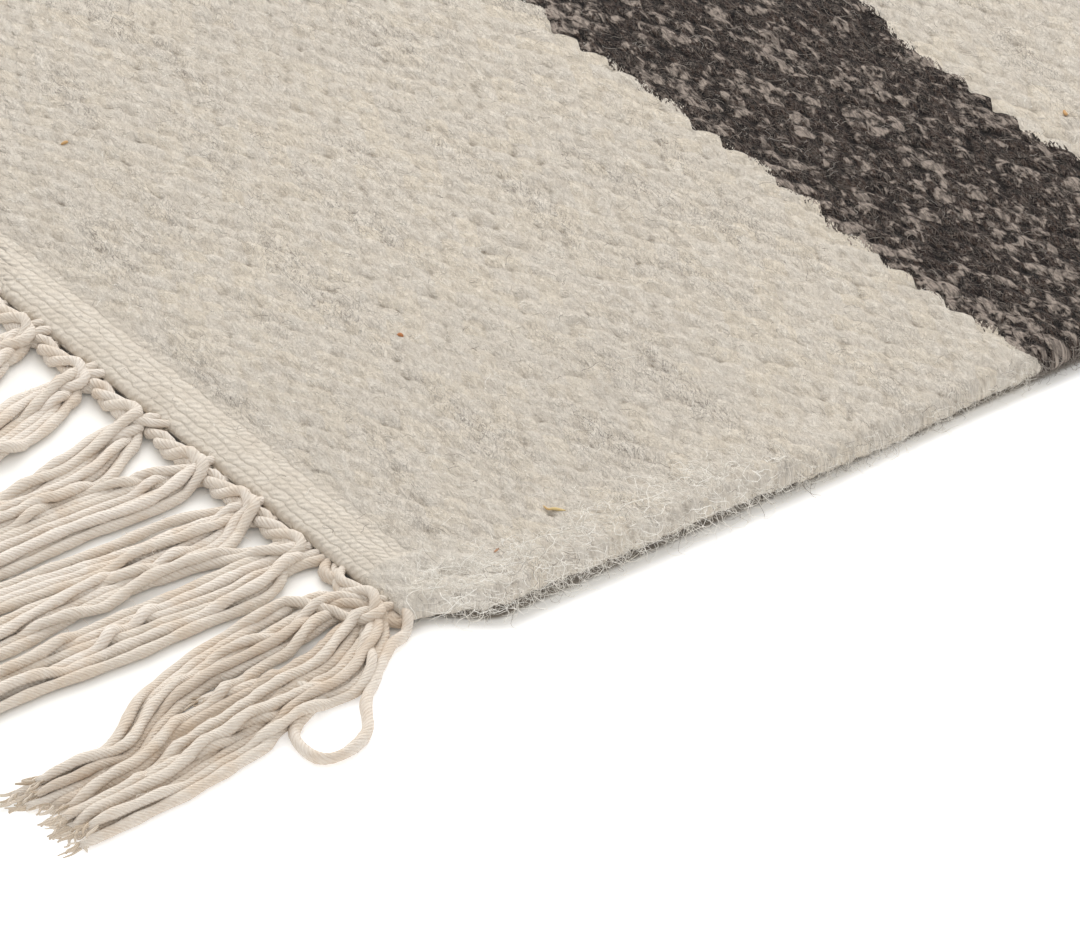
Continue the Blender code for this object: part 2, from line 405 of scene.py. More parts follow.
def cloth_place(column, row):
    """Place of the smooth cloth, its outward direction and what the weave does there."""
    y = (2 * row / ROWS - 1) * HALF_LENGTH
    flat_x = section_point(column, np.full_like(column, WOOL_THICKNESS))[0]
    band = band_share(flat_x, y)
    from_end = HALF_LENGTH - np.abs(y)
    thin = smooth_step((BAND_WIDTH - from_end) / BAND_SOFT_EDGE + 0.5)
    thickness = WOOL_THICKNESS + (BAND_THICKNESS - WOOL_THICKNESS) * np.maximum(band, 0.6 * thin)
    thickness = thickness - END_THINNING * smooth_step(1 - from_end / END_THINNING_LENGTH)
    x, z, out_x, out_z = section_point(column, thickness)

    side = np.sign(x)
    give = smooth_step((np.abs(x) - (HALF_WIDTH - SELVEDGE_GIVE)) / SELVEDGE_GIVE)
    x = side * (np.abs(x) + selvedge_stray(y, side) * give)

    round_share = np.clip(from_end / END_ROUNDING, 0.0, 1.0)
    fullness = np.sqrt(1 - (1 - round_share) ** 2)
    fullness = END_FLAT_SHARE + (1 - END_FLAT_SHARE) * fullness
    middle = thickness / 2
    z = middle + (z - middle) * fullness

    across = x / HALF_WIDTH
    bow = END_BOW * (1 - across ** 2) * smooth_step((np.abs(y) - 0.40) / 0.05)
    y = y - np.sign(y) * bow
    upper = np.clip(out_z, 0.0, 1.0)
    z = z + upper * UNDULATION * gentle_noise(x, y, seed=31, wavelength=0.07) * fullness
    z = z + edge_lift(x, y)
    return x, y, z, out_x, out_z, band, fullness


def weave_place(column, row, x, y):
    """Columns and rows as the hand wove them: neither runs quite straight."""
    woven_column = column + 0.22 * gentle_noise(x, y, seed=41, wavelength=0.05)
    woven_row = row + 0.55 * gentle_noise(x, y, seed=43, wavelength=0.12)
    woven_row = woven_row + 0.16 * gentle_noise(x, y, seed=44, wavelength=0.03)
    from_end = HALF_LENGTH - np.abs(y)
    settle = smooth_step(from_end / 0.02)
    return woven_column, row + (woven_row - row) * settle


TUFT_CREASES = (
    {"x": 0.2905, "y": -0.4405, "heading": 68, "length": 0.0085, "depth": 0.0016},
    {"x": 0.2865, "y": -0.4415, "heading": 118, "length": 0.0070, "depth": 0.0013},
    {"x": 0.2938, "y": -0.4370, "heading": 35, "length": 0.0060, "depth": 0.0007},
)
TUFT_WIDTH = 0.0011
TUFT_PLACE = (0.2895, -0.4420)
TUFT_RADIUS = 0.0075
TUFT_HEIGHT = 0.0009
LOBE_PLACE = (0.2905, -0.4435)
LOBE_RADIUS = 0.0130


def corner_tuft(x, y):
    """The wool lobes that wrap the outermost warps at the near corner, with creases between them."""
    distance = np.hypot(x - TUFT_PLACE[0], y - TUFT_PLACE[1])
    height = TUFT_HEIGHT * (1 - smooth_step(distance / TUFT_RADIUS))
    for crease in TUFT_CREASES:
        heading = math.radians(crease["heading"])
        along = (x - crease["x"]) * math.cos(heading) + (y - crease["y"]) * math.sin(heading)
        across = -(x - crease["x"]) * math.sin(heading) + (y - crease["y"]) * math.cos(heading)
        reach = np.exp(-(along / crease["length"] * 2) ** 2)
        height = height - crease["depth"] * reach * np.exp(-(across / TUFT_WIDTH) ** 2)
    return height


def make_cloth():
    quads, triangles = cloth_faces()
    keys, places = np.unique(np.concatenate([quads.ravel(), triangles.ravel()]), return_inverse=True)
    quads = places[:quads.size].reshape(-1, 4)
    triangles = places[quads.size:].reshape(-1, 3)
    rows_per_line = CELLS_ALONG * FINE_LEVEL + 1
    steps_round = keys // rows_per_line
    steps_along = keys % rows_per_line
    column = steps_round * (CELL_COLUMNS / FINE_LEVEL)
    row = steps_along * (CELL_ROWS / FINE_LEVEL)

    x, y, z, out_x, out_z, band, fullness = cloth_place(column, row)
    woven_column, woven_row = weave_place(column, row, x, y)
    height = grain_height(woven_column, woven_row)

    on_top = (column <= FACE_COLUMNS + RIM_COLUMNS) & (steps_along > 0)
    near = smooth_step(inside_region(x, y, NEAR_MARGIN + 0.001) / 0.004) * on_top
    level = np.where(np.gcd(steps_round, steps_along) % FINE_LEVEL == 0, 0.0, 1.0)
    right_rim = (column > FACE_COLUMNS) & (column < FACE_COLUMNS + RIM_COLUMNS)
    rim = right_rim | (column > COLUMNS - RIM_COLUMNS)
    detail = np.maximum(near, np.where(rim, 0.8 * level, 0.0))

    amount = GRAIN_RELIEF + (BAND_RELIEF - GRAIN_RELIEF) * band
    relief = amount * (height - 0.55) * detail * (0.35 + 0.65 * fullness)
    top_face = out_z > 0.2
    tuft = corner_tuft(x, y) * near * top_face
    points = np.stack([x + out_x * relief, y, z + out_z * relief + tuft], axis=1)
    points[:, 2] = np.maximum(points[:, 2], 0.0)

    cloth = new_mesh_object("woven_cloth", points, quads, triangles)
    point_attribute(cloth, "grain", height)
    point_attribute(cloth, "detail", detail)
    point_attribute(cloth, "band", band)

    # Columns are counted on past the seam, in the faces that lie across it
    weave = []
    for faces in (quads, triangles):
        columns = woven_column[faces]
        past_seam = (columns.max(axis=1, keepdims=True) > COLUMNS * 0.75) & (columns < COLUMNS * 0.25)
        columns = columns + COLUMNS * past_seam
        weave.append(np.stack([columns, woven_row[faces], np.zeros(faces.shape)], axis=-1).reshape(-1, 3))
    vector_attribute(cloth, "weave", np.concatenate(weave), "CORNER")
    return cloth


# Shader nodes

class Field:
    """A value that varies over a material. Arithmetic on it makes math nodes."""

    def __init__(self, graph, socket):
        self.graph = graph
        self.socket = socket

    def __add__(self, other):
        return self.graph.math("ADD", self, other)

    def __sub__(self, other):
        return self.graph.math("SUBTRACT", self, other)

    def __rsub__(self, other):
        return self.graph.math("SUBTRACT", other, self)

    def __mul__(self, other):
        return self.graph.math("MULTIPLY", self, other)

    def __truediv__(self, other):
        return self.graph.math("DIVIDE", self, other)

    def __pow__(self, other):
        return self.graph.math("POWER", self, other)

    def __abs__(self):
        return self.graph.math("ABSOLUTE", self)

    def __gt__(self, other):
        return self.graph.math("GREATER_THAN", self, other)

    def __lt__(self, other):
        return self.graph.math("LESS_THAN", self, other)


class Graph:
    """A short way to write a material's nodes: each call makes one node and returns one of its outputs."""

    def __init__(self, name):
        self.material = bpy.data.materials.new(name)
        self.material.use_nodes = True
        self.tree = self.material.node_tree

    def feed(self, socket, value):
        if isinstance(value, Field):
            self.tree.links.new(value.socket, socket)
        elif value is not None:
            socket.default_value = value

    def make(self, kind, inputs, output=0, **settings):
        """Makes a node with its settings, feeds its inputs and returns one output, by name or number."""
        node = self.tree.nodes.new(kind)
        for key, value in settings.items():
            setattr(node, key, value)
        for key, value in inputs.items():
            self.feed(node.inputs[key], value)
        return Field(self, node.outputs[output])

    def math(self, operation, a, b=None):
        return self.make("ShaderNodeMath", {0: a, 1: b}, operation=operation)

    def largest(self, a, b):
        return self.math("MAXIMUM", a, b)

    def cosine_wave(self, phase):
        """A wave between 0 and 1."""
        return self.math("COSINE", phase) * 0.5 + 0.5

    def join(self, x, y, z):
        return self.make("ShaderNodeCombineXYZ", {0: x, 1: y, 2: z})

    def split(self, vector):
        first = self.make("ShaderNodeSeparateXYZ", {0: vector})
        return [Field(self, socket) for socket in first.socket.node.outputs]

    def attribute(self, name, output="Fac"):
        return self.make("ShaderNodeAttribute", {}, output, attribute_name=name)

    def place(self):
        return self.make("ShaderNodeTexCoord", {}, "Object")

    def random(self, x, y, z):
        inputs = {"Vector": self.join(x, y, z)}
        return self.make("ShaderNodeTexWhiteNoise", inputs, "Value", noise_dimensions="3D")

    def noise(self, vector, scale=1.0, detail=2.0, roughness=0.5, distortion=0.0):
        inputs = {"Vector": vector, "Scale": scale, "Detail": detail}
        inputs |= {"Roughness": roughness, "Distortion": distortion}
        return self.make("ShaderNodeTexNoise", inputs, "Fac")

    def tufts(self, place, degrees, length, width, detail=2.0, roughness=0.6, distortion=0.0):
        """Noise drawn out along a heading, with tufts of about a length and a width."""
        turn = {"Vector": place, "Angle": math.radians(degrees)}
        turned = self.make("ShaderNodeVectorRotate", turn, rotation_type="Z_AXIS")
        scale = {0: turned, 1: (1 / length, 1 / width, 0.0)}
        scaled = self.make("ShaderNodeVectorMath", scale, operation="MULTIPLY")
        return self.noise(scaled, detail=detail, roughness=roughness, distortion=distortion)

    def hairs(self, place, degrees, length, width, seed, line, distortion):
        """Thin wavy lines, as of loose fibres that mostly follow one heading."""
        moved = {0: place, 1: (seed * 0.137, seed * 0.071, 0.0)}
        moved = self.make("ShaderNodeVectorMath", moved, operation="ADD")
        field = self.tufts(moved, degrees, length, width, detail=1.5, roughness=0.5, distortion=distortion)
        return self.ramp(abs(field - 0.5), line, line * 0.25)

    def ramp(self, value, low, high):
        """0 at low, 1 at high and smooth between. High may be the lower of the two."""
        inputs = {"Value": value, "From Min": low, "From Max": high}
        return self.make("ShaderNodeMapRange", inputs, interpolation_type="SMOOTHSTEP")

    def lerp(self, share, a, b):
        return self.make("ShaderNodeMix", {"Factor": share, "A": a, "B": b}, "Result", data_type="FLOAT")

    def blend(self, share, a, b):
        return self.make("ShaderNodeMix", {"Factor": share, "A": a, "B": b}, "Result", data_type="RGBA")

    def overlay(self, color, layers):
        """Lays colours over a colour, one after another, each by its own share."""
        for share, over in layers:
            color = self.blend(share, color, over)
        return color

    def bump(self, height, strength, distance, normal=None):
        inputs = {"Strength": strength, "Distance": distance, "Height": height, "Normal": normal}
        return self.make("ShaderNodeBump", inputs)

    def finish(self, sockets):
        """Feeds the shader, and returns the finished material."""
        shader = self.tree.nodes["Principled BSDF"]
        for name, value in sockets.items():
            self.feed(shader.inputs[name], value)
        return self.material


def srgb(red, green, blue):
    """Linear colour of an 8-bit display colour."""
    linear = []
    for value in (red, green, blue):
        share = value / 255
        linear.append(share / 12.92 if share <= 0.04045 else ((share + 0.055) / 1.055) ** 2.4)
    return (*linear, 1.0)


WOOL_CREAM = srgb(214, 205, 192)
WOOL_WARM = srgb(218, 207, 190)
WOOL_PALE = srgb(224, 217, 206)
WOOL_COOL = srgb(203, 195, 184)
WOOL_LOW = srgb(184, 172, 156)
WOOL_GREY = srgb(120, 112, 105)
# Painted shade for the low places between the cream wool's grains
WOOL_PAINTED_GAP_SHADE = srgb(132, 121, 106)
WOOL_DARK = srgb(36, 27, 25)
WOOL_DARKEST = srgb(12, 8, 8)
WOOL_DARK_PALE = srgb(170, 157, 146)
WOOL_DARK_FIBRE = srgb(122, 110, 101)
WOOL_DARK_BROWN = srgb(84, 68, 59)
COTTON = srgb(220, 210, 197)
COTTON_PALE = srgb(231, 222, 211)
# Painted shade for the yarn's low places
COTTON_PAINTED_SHADE = srgb(176, 150, 124)
COTTON_WARM = srgb(208, 187, 163)
# Painted shade of the corner tassels' dense strands
COTTON_PAINTED_TASSEL_SHADE = srgb(200, 185, 168)
BAND_COTTON = srgb(205, 195, 181)
BAND_PALE = srgb(213, 204, 191)
# Painted shade between the end bands' plies
BAND_PAINTED_SHADE = srgb(166, 152, 134)

# The end bands are woven of plied cotton: rows along the end, each row's plies slanting across it
COLUMN_PITCH = 2 * HALF_WIDTH / FACE_COLUMNS
BAND_ROW = 0.00145
BAND_PLY = 0.00135
BAND_SLANT_ALONG = 0.80
BAND_SLANT_ACROSS = -0.60


def weave_lattice(graph, column, row):
    """Height of the nearest grain, and the column and row that name it."""
    half = column * 0.5
    grains = (
        (graph.math("ROUND", half) * 2.0, graph.math("ROUND", row)),
        (graph.math("FLOOR", half) * 2.0 + 1.0, graph.math("FLOOR", row) + 0.5),
    )
    heights = []
    for grain_column, grain_row in grains:
        across = (column - grain_column) / GRAIN_HALF_COLUMNS
        along = (row - grain_row) / GRAIN_HALF_ROWS
        heights.append(1.0 - (across ** 2.0 + along ** 2.0))
    odd_wins = heights[1] > heights[0]
    grain_column = graph.lerp(odd_wins, grains[0][0], grains[1][0])
    grain_row = graph.lerp(odd_wins, grains[0][1], grains[1][1])
    return graph.largest(heights[0], heights[1]), grain_column, grain_row


def band_rope(graph, column, row, place):
    """Height of the end bands' plied rows, 1 on the crown of a ply."""
    stray = graph.noise(place, scale=380.0, detail=3.0) - 0.5
    rows = row * (ROW_PITCH / BAND_ROW) + stray * 1.1
    index = graph.math("FLOOR", rows)
    in_row = rows - index - 0.5
    body = 1.0 - (in_row * 2.0) ** 2.0
    start = graph.random(index, 0.0, 5.0)
    along = column * (COLUMN_PITCH * BAND_SLANT_ALONG / BAND_PLY) + start
    along = in_row * (BAND_ROW * BAND_SLANT_ACROSS / BAND_PLY) + along
    ply = graph.cosine_wave((along + stray * 2.2) * (2 * math.pi))
    return body ** 0.8 * (ply * 0.5 + 0.5)


def stripe_place(graph, wool):
    """How far along one repeat of the stripes. It goes by grains more than by place, for toothed edges."""
    stray = (graph.random(wool.grain_column, wool.grain_row, 7.0) - 0.5) * STRIPE_STRAY
    tooth = (wool.strands + wool.cross_strands - 1.0) * STRIPE_TEETH
    place = graph.lerp(STRIPE_SOFTNESS, wool.grain_row, wool.row) * ROW_PITCH + (stray + tooth)
    return graph.math("MODULO", graph.math("MINIMUM", place, 2 * HALF_LENGTH - 0.004), STRIPE_REPEAT)


def wool_fields(graph):
    """The fields that the cloth's colours and relief are made of: its grains, tufts, fibres and hairs."""
    wool = SimpleNamespace()
    wool.place = graph.place()
    wool.x, wool.y, _ = graph.split(wool.place)
    wool.column, wool.row, _ = graph.split(graph.attribute("weave", "Vector"))
    wool.detail = graph.attribute("detail")
    wool.lattice_height, wool.grain_column, wool.grain_row = weave_lattice(graph, wool.column, wool.row)
    wool.height = graph.lerp(wool.detail, wool.lattice_height, graph.attribute("grain"))
    wool.grain_random = graph.random(wool.grain_column, wool.grain_row, 0.0)
    wool.tufts = graph.tufts(wool.place, 5, 0.0034, 0.0017, detail=2.5, distortion=0.5)
    wool.flecks = graph.tufts(wool.place, 9, 0.0024, 0.0013, distortion=0.7)
    wool.strands = graph.tufts(wool.place, 12, 0.0022, 0.00045, distortion=1.0)
    wool.cross_strands = graph.tufts(wool.place, 48, 0.0018, 0.00045, distortion=1.2)
    wool.steep_strands = graph.tufts(wool.place, -36, 0.0016, 0.00045, distortion=1.2)
    long_hairs = graph.hairs(wool.place, 6, 0.0060, 0.00070, 1, 0.020, 1.0)
    slant_hairs = graph.hairs(wool.place, 40, 0.0030, 0.00060, 2, 0.024, 1.4)
    wool.cross_hairs = graph.hairs(wool.place, -38, 0.0030, 0.00060, 3, 0.024, 1.4)
    wool.dark_hairs = graph.largest(slant_hairs, long_hairs)
    wool.pale_hairs = graph.largest(wool.dark_hairs, wool.cross_hairs)
    wool.mottle = graph.noise(wool.place, scale=260.0, detail=3.0, roughness=0.55)
    wool.patches = graph.tufts(wool.place, 2, 1 / 26.0, 1 / 120.0, detail=3.0, roughness=0.5)
    wool.in_repeat = stripe_place(graph, wool)
    return wool


def cream_wool(graph, wool):
    """Cream wool, heathered with grey fibres except on the lobe at the near corner, with painted shade
    between its grains.
    """
    ramp = graph.ramp
    lerp = graph.lerp
    from_lobe = ((wool.x - LOBE_PLACE[0]) ** 2.0 + (wool.y - LOBE_PLACE[1]) ** 2.0) ** 0.5
    off_lobe = ramp(from_lobe, LOBE_RADIUS * 0.6, LOBE_RADIUS)
    grey_zone = ramp(wool.patches, 0.46, 0.70) * off_lobe
    clouds = graph.noise(wool.place, scale=14.0)
    # Painted shade: darker where the grains are low, between them, and less so on the lobe
    painted_gap_shade = ramp(wool.height, 0.56, 0.06) * lerp(ramp(wool.mottle, 0.44, 0.66), 0.15, 0.72)
    grey_flecks = ramp(wool.flecks, 0.57, 0.72) * ramp(wool.strands, 0.42, 0.60)
    grey_flecks = grey_flecks * lerp(grey_zone, 0.06, 0.42)
    return graph.overlay(WOOL_CREAM, (
        (ramp(wool.grain_random, 0.3, 1.0), WOOL_WARM),
        (ramp(clouds, 0.35, 0.75) * 0.40, WOOL_COOL),
        (ramp(wool.tufts, 0.50, 0.32) * 0.40, WOOL_LOW),
        (ramp(wool.tufts, 0.50, 0.68) * 0.48, WOOL_PALE),
        (ramp(wool.strands, 0.52, 0.30) * 0.28, WOOL_LOW),
        (ramp(wool.cross_strands, 0.54, 0.70) * 0.30, WOOL_PALE),
        (ramp(wool.steep_strands, 0.46, 0.30) * 0.18, WOOL_LOW),
        (painted_gap_shade * lerp(off_lobe, 0.25, 1.0), WOOL_PAINTED_GAP_SHADE),
        (grey_flecks * off_lobe, WOOL_GREY),
        (wool.dark_hairs * lerp(grey_zone, 0.16, 0.74), WOOL_GREY),
        (wool.cross_hairs * 0.40, WOOL_PALE),
        (lerp(off_lobe, 0.40, 0.0), WOOL_PALE),
    ))


def dark_wool(graph, wool):
    """Dark wool, mottled with pale fibres and a little paler towards its own edges and the selvedges, with
    a painted highlight on its grains' crowns and painted shade between them.
    """
    ramp = graph.ramp
    to_side = ramp(abs(wool.x), HALF_WIDTH - 0.045, HALF_WIDTH)
    off_middle = abs(wool.in_repeat - (CREAM_LENGTH + DARK_LENGTH / 2))
    # The grains' height adds a painted highlight: pale flecks come more on the crowns
    push = wool.grain_random * 0.14 + to_side * 0.025 + ramp(wool.height, 0.25, 0.95) * 0.060
    push = push + wool.patches * 0.16 + ramp(off_middle, 0.006, DARK_LENGTH / 2) * 0.022
    pale_fleck = ramp(graph.lerp(0.45, wool.flecks, wool.tufts) + push, 0.705, 0.82)
    return graph.overlay(WOOL_DARKEST, (
        (ramp(wool.tufts, 0.38, 0.64), WOOL_DARK),
        (ramp(wool.strands, 0.48, 0.64) * 0.50, WOOL_DARK_BROWN),
        (pale_fleck * graph.lerp(ramp(wool.strands, 0.40, 0.58), 0.42, 0.95), WOOL_DARK_PALE),
        (wool.pale_hairs * 0.30, WOOL_DARK_PALE),
        # Painted shade between the grains
        (ramp(wool.height, 0.60, 0.08) * 0.85, WOOL_DARKEST),
    ))


def band_cotton(graph, wool, rope):
    """The plied cotton of the end bands, with painted shade between its plies."""
    ramp = graph.ramp
    return graph.overlay(BAND_COTTON, (
        (ramp(wool.mottle, 0.35, 0.65), BAND_PALE),
        # Painted shade where the plies are low, between them
        (ramp(rope, 0.42, 0.0) * graph.lerp(ramp(wool.mottle, 0.44, 0.66), 0.05, 0.60), BAND_PAINTED_SHADE),
        (wool.dark_hairs * 0.10, WOOL_GREY),
    ))


def make_wool_material():
    """Striped wool with cotton end bands. Its grains are a bump only where the mesh doesn't raise them."""
    graph = Graph("handspun_wool")
    wool = wool_fields(graph)
    rope = band_rope(graph, wool.column, wool.row, wool.place)
    band = graph.attribute("band")
    stripes = graph.blend(wool.in_repeat > CREAM_LENGTH, cream_wool(graph, wool), dark_wool(graph, wool))
    fuzz = wool.tufts * 2.1 + wool.strands * 0.9 + wool.cross_strands * 0.8
    fuzz = fuzz + wool.steep_strands * 0.6 + wool.pale_hairs * 0.2
    fuzz = graph.lerp(band, fuzz, fuzz * 0.30 + rope * 0.80)
    grains = graph.bump(graph.largest(wool.lattice_height, -0.2), 1.0 - wool.detail, GRAIN_RELIEF)
    return graph.finish({
        "Base Color": graph.blend(band, stripes, band_cotton(graph, wool, rope)),
        "Normal": graph.bump(fuzz, 0.80, 0.00055, grains),
        "Roughness": 0.92,
        "Specular IOR Level": 0.08,
        "Sheen Weight": 0.03,
        "Sheen Roughness": 0.6,
    })


def make_cotton_material():
    """Soft cotton warp yarn. Its plies wind round the yarn, from its own angle and length attributes, with
    painted shade between the plies and where its fibres lie low.
    """
    graph = Graph("plied_cotton")
    ramp = graph.ramp
    cosine, sine, along = graph.split(graph.attribute("yarn", "Vector"))
    tone = graph.attribute("tone")
    place = graph.place()
    fluff = graph.noise(place, scale=1100.0)
    streak = graph.noise(place, scale=190.0)
    phase = graph.math("ARCTAN2", sine, cosine) * PLY_COUNT + along * (2 * math.pi * PLY_COUNT / PLY_LAY)
    phase = phase + streak * 5.0
    ply = graph.cosine_wave(phase)
    # Painted shade in the grooves between the plies
    painted_groove_shade = ramp(ply, 0.50, 0.0) * graph.lerp(ramp(fluff, 0.35, 0.62), 0.25, 1.0)
    fibres = graph.noise(graph.join(phase * 0.8, along * 300.0, tone * 9.0), roughness=0.65)
    color = graph.overlay(COTTON, (
        (ramp(tone, 0.0, 1.0), COTTON_PALE),
        # Tones below 0, on corner tassels' yarns only, blend into a painted shade
        (ramp(tone, 0.0, -1.0), COTTON_PAINTED_TASSEL_SHADE),
        (ramp(streak, 0.45, 0.70) * 0.45, COTTON_WARM),
        # Painted shade: darker between the plies and where the fibres' relief is low
        (painted_groove_shade * 0.26, COTTON_PAINTED_SHADE),
        (ramp(fibres, 0.48, 0.30) * 0.30, COTTON_PAINTED_SHADE),
        (ramp(fibres, 0.52, 0.70) * 0.45, COTTON_PALE),
    ))
    height = fluff * 0.55 + ply ** 0.7 * 0.60 + fibres * 0.70
    return graph.finish({
        "Base Color": color,
        "Normal": graph.bump(height, 0.55, 0.00038),
        "Roughness": 0.85,
        "Specular IOR Level": 0.1,
        "Sheen Weight": 0.10,
        "Sheen Roughness": 0.6,
    })


def make_fibre_material(name, darker, paler, roughness, striped=False):
    """Loose fibres and bits of plant, each of its own tone between two 8-bit display colours."""
    graph = Graph(name)
    shown = graph.blend(graph.attribute("tone"), srgb(*darker), srgb(*paler))
    if striped:
        _, y, _ = graph.split(graph.place())
        on_dark = graph.math("MODULO", y + HALF_LENGTH, STRIPE_REPEAT) > CREAM_LENGTH
        shown = graph.blend(on_dark * 0.75, shown, WOOL_DARK_FIBRE)
    return graph.finish({"Base Color": shown, "Roughness": roughness, "Specular IOR Level": 0.3})


# Fringe yarns

YARN_RADIUS = 0.00086
PLY_COUNT = 8
PLY_LAY = 0.0066
FRINGE_REACH = 0.0660
SPREAD_STATIONS = np.array((0.0, 0.004, 0.009, 0.014, 0.022, 0.032, 0.042, 0.050, 0.058, 0.0660))
CORD_YARNS = 3
STRAIGHT_YARNS = 5
CORNER_STRAIGHT_YARNS = 16
ROOT_WIDTH = 0.0115
CORNER_ROOT_WIDTH = 0.0090
CORNER_ROOT_SHIFT = 0.0002
WAVE_HEIGHT = 0.0005
REST_HEIGHT = 0.0024

# The header cord: how far out and up it runs, the radius of its yarns' turns and the length of one turn
HEADER_OUT = 0.0016
HEADER_RISE = 0.0023
HEADER_TURN_RADIUS = 0.00082
HEADER_LAY = 0.0100
HEADER_STEPS = 9
HEADER_SPACING = 0.0014

NEAR_TASSELS = 13
NEAR_MESH = {"rings": 64, "sides": 10, "rounds": 60}
FAR_MESH = {"rings": 24, "sides": 6, "rounds": 40}
FALL_STEP = 0.00008
PLAN_PULL = 0.16
PINNED_SHARE = 0.06
YARN_START_RINGS = 6

# The tassels that the photograph shows. Millimetres, with X measured from the corner of the straight cloth.
# The corner tassel: distance out from the cord, X of its middle, half its width
CORNER_TASSEL = (
    (0.0, -12.0, 5.0), (4.0, -12.0, 8.0), (9.0, -10.0, 10.5), (14.0, -8.0, 11.5), (22.0, -7.5, 11.8),
    (32.0, -5.5, 12.8), (42.0, -3.5, 11.0), (50.0, -0.5, 8.0), (58.0, 0.0, 8.0), (66.0, 0.3, 8.4),
)
# The next ones inwards: X of their middles at a few distances out, and half their widths
SHOWN_STATIONS = (0.0, 6.0, 14.0, 20.0, 26.0, 38.0, 52.0, 66.0)
SHOWN_TASSELS = (
    {"middles": (-31.7, -31.3, -30.8, -31.0, -31.2, -31.6, -31.4, -31.0), "half": 6.6},
    {"middles": (-44.5, -44.4, -44.6, -44.8, -45.2, -46.0, -46.0, -45.5), "half": 5.2},
    {"middles": (-57.5, -57.5, -57.8, -58.3, -58.8, -58.5, -58.0, -57.5), "half": 4.8},
    {"middles": (-73.7, -70.6, -67.4, -66.6, -66.8, -67.5, -68.5, -69.0), "half": 3.9},
    {"middles": (-88.6, -87.0, -85.5, -83.8, -82.0, -81.5, -81.5, -82.0), "half": 4.6},
    {"middles": (-103.2, -102.0, -100.0, -98.0, -97.0, -97.0, -97.5, -98.0), "half": 4.6},
)
# One yarn of the near corner tassel makes an open loop on the floor: X, distance out, height
CORNER_LOOP = (
    (-5.0, 1.3, 2.2), (-4.6, 5.3, 3.0), (0.8, 12.0, 2.4), (5.2, 16.5, 1.6), (11.0, 20.1, 1.1),
    (13.3, 26.0, 1.0), (12.4, 29.8, 1.0), (8.5, 30.2, 1.0), (4.7, 29.3, 1.0), (1.8, 25.8, 1.2),
    (0.8, 22.3, 1.1), (-2.5, 20.5, 1.0), (-6.0, 22.5, 1.0), (-8.5, 28.0, 1.0), (-9.5, 36.0, 1.0),
)


def smooth_route(points, count):
    """The places of a smooth curve through a few points, evenly spaced along it."""
    points = np.asarray(points, dtype=float)
    padded = np.concatenate([2 * points[:1] - points[1:2], points, 2 * points[-1:] - points[-2:-1]])
    share = np.linspace(0, 1, 9)[:-1][:, None]
    pieces = []
    for k in range(len(points) - 1):
        a, b, c, d = padded[k:k + 4]
        pieces.append(0.5 * (2 * b + (c - a) * share + (2 * a - 5 * b + 4 * c - d) * share ** 2
                             + (3 * b - a - 3 * c + d) * share ** 3))
    curve = np.concatenate(pieces + [points[-1:]])
    steps = np.linalg.norm(np.diff(curve, axis=0), axis=1)
    run = np.concatenate([[0], np.cumsum(steps)])
    even = np.linspace(0, run[-1], count)
    return np.stack([np.interp(even, run, curve[:, axis]) for axis in range(3)], axis=1)


def from_corner(index):
    """How many tassels lie between a tassel and the nearer corner."""
    return min(index, TASSELS - 1 - index)


def tassel_form(index, side, draw):
    """Root of a tassel, and its middle and half width at each station, along X from the rug's middle."""
    stations = SPREAD_STATIONS
    sign = -1.0 if index < TASSELS / 2 else 1.0
    place = from_corner(index)
    if place == 0:
        outs, middles, halves = np.transpose(CORNER_TASSEL) * MM
        middles = sign * (HALF_WIDTH + np.interp(stations, outs, middles))
        return middles[0], middles, np.interp(stations, outs, halves)
    if side < 0 and sign > 0 and place <= len(SHOWN_TASSELS):
        shown = SHOWN_TASSELS[place - 1]
        root = HALF_WIDTH + shown["middles"][0] * MM
        middles = HALF_WIDTH + np.interp(stations / MM, SHOWN_STATIONS, shown["middles"]) * MM
        half = shown["half"] * MM
    else:
        root = (index - (TASSELS - 1) / 2) * TASSEL_PITCH
        lean = 0.0035 * math.cos(2 * math.pi * (root - 0.22) / 0.5) + draw.normal(0, 0.0012)
        drift = draw.normal(0, 0.0012)
        middles = root + lean * smooth_step(stations / 0.016) + drift * stations / FRINGE_REACH
        wave = 0.0012 * np.sin(stations / 0.011 + draw.uniform(0, 6.3))
        middles = middles + wave * stations / FRINGE_REACH
        half = draw.uniform(0.0040, 0.0056)
    halves = half * (0.28 + 0.72 * smooth_step(stations / 0.013))
    halves = halves * (1 + 0.12 * np.sin(stations / 0.012 + draw.uniform(0, 6.3)))
    return root, middles, halves


